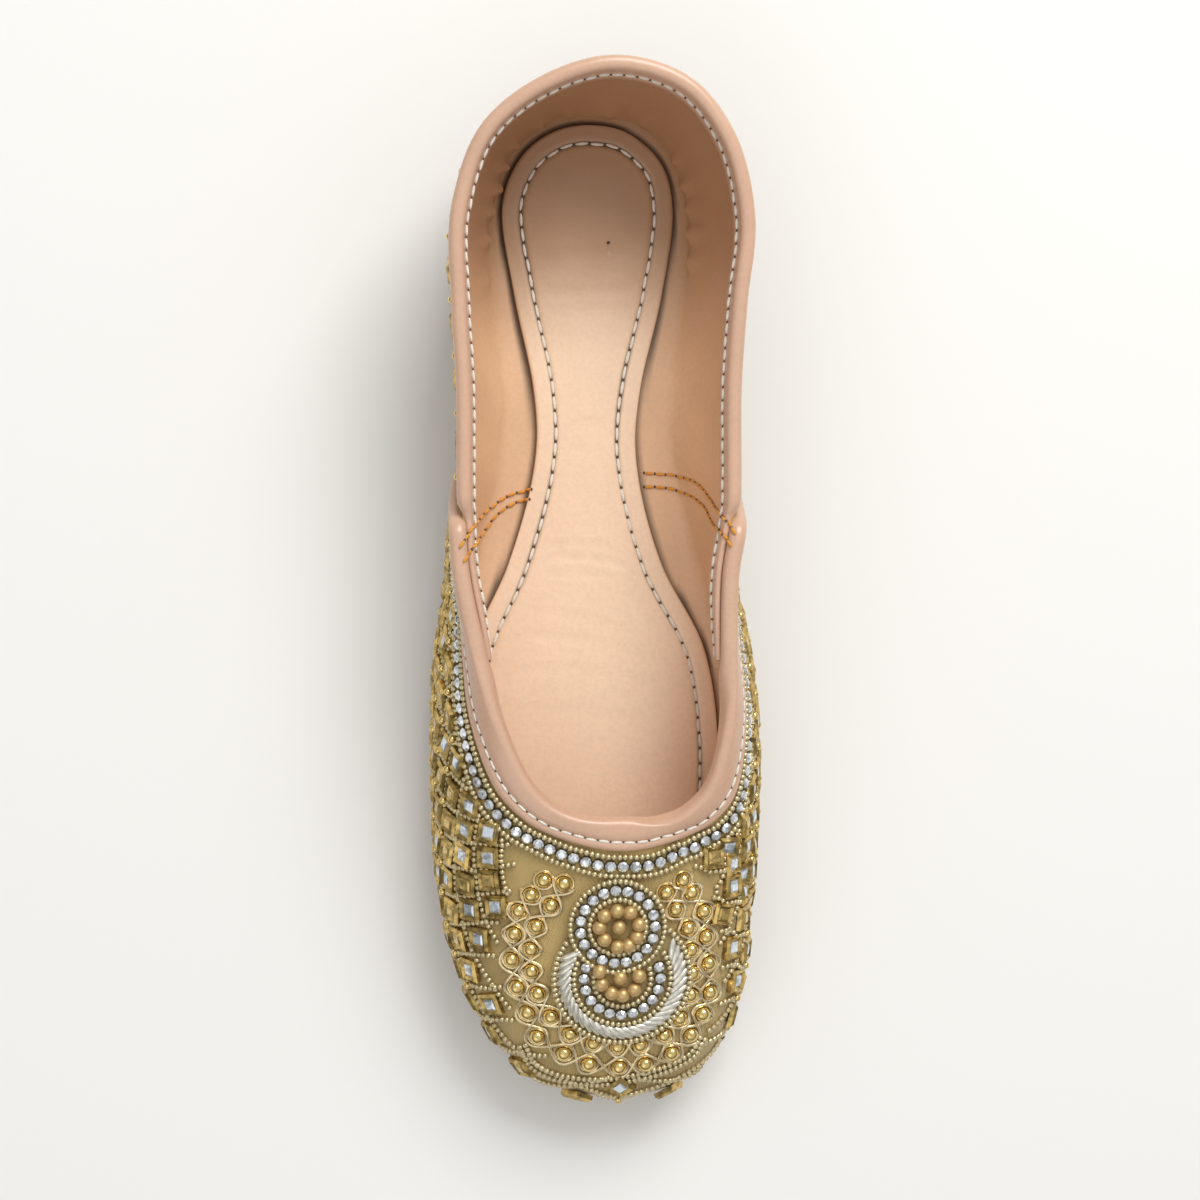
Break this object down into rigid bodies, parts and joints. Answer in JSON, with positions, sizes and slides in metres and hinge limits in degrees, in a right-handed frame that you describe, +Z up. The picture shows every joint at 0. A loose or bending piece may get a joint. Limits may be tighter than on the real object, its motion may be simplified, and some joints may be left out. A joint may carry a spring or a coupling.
{
  "type": "mojari shoe",
  "caption": "Right mojari slip-on: hollow upper with lapped vamp and quarter, bound collar and square throat, padded insole, leather outsole, low heel and a beaded medallion pad.",
  "frame": {"origin": "on the floor under the middle of the shoe's box", "axes": "+Z up, toe towards -Y, inner side of the foot towards +X"},
  "size_m": [0.0792, 0.2515, 0.0612],
  "materials": {
    "sole_leather": "smooth tan sole leather, scuffed lightly where it stands",
    "upper_fabric": "olive gold woven ground under beadwork",
    "lining_leather": "smooth pale tan lining leather with soft creases",
    "binding_leather": "rose beige leather, softly polished at the roll",
    "medallion_ground": "gold ground packed with beads",
    "bead_metal": "champagne gold beads, pearls and wire",
    "mirror_glass": "small pale blue mirrors and clear stones",
    "thread": "waxed white and orange gold thread"
  },
  "bodies": {
    "root": {"outsole": "sole_leather", "heel": "sole_leather", "upper": "upper_fabric", "insole": "lining_leather", "collar_binding": "binding_leather", "throat_binding": "binding_leather", "medallion": "medallion_ground"}
  },
  "joints": []
}
